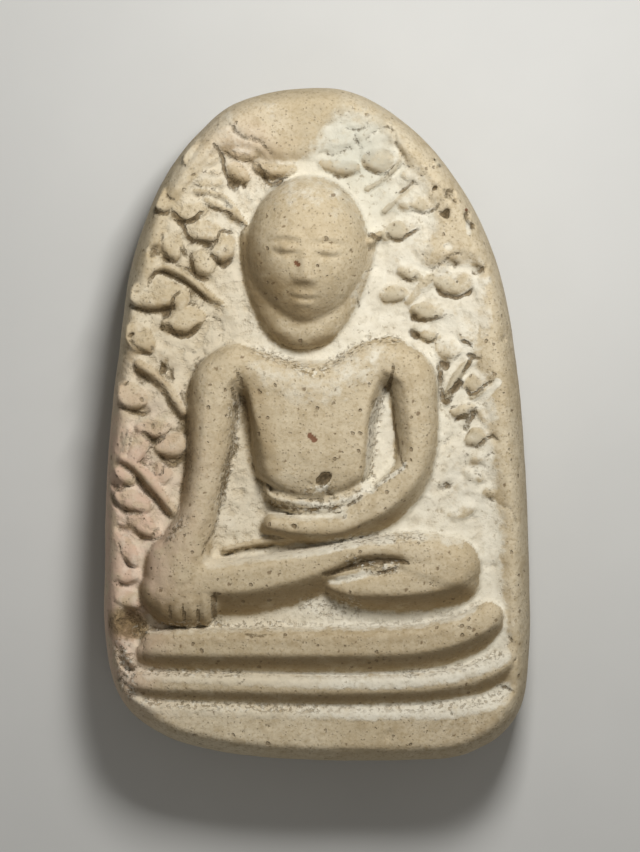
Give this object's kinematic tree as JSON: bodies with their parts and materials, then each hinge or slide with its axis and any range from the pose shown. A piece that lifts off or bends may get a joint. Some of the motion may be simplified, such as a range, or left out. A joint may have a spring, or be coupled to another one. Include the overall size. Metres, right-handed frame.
{
  "type": "thai votive tablet amulet",
  "caption": "Small pressed-clay amulet tablet with a rounded top, showing a figure seated on a two-tier throne under a tree of leaves in relief.",
  "frame": {"origin": "middle of the flat back, on the surface the tablet lies on", "axes": "+Z out of the back through the relief, +Y from the foot to the rounded top, +X to the right as the relief is seen from above"},
  "size_m": [0.0214, 0.0338, 0.0083],
  "materials": {
    "clay": "matt, low-fired clay with a handled patina and chalky dust in the hollows"
  },
  "bodies": {
    "root": {"tablet": "clay"}
  },
  "joints": []
}
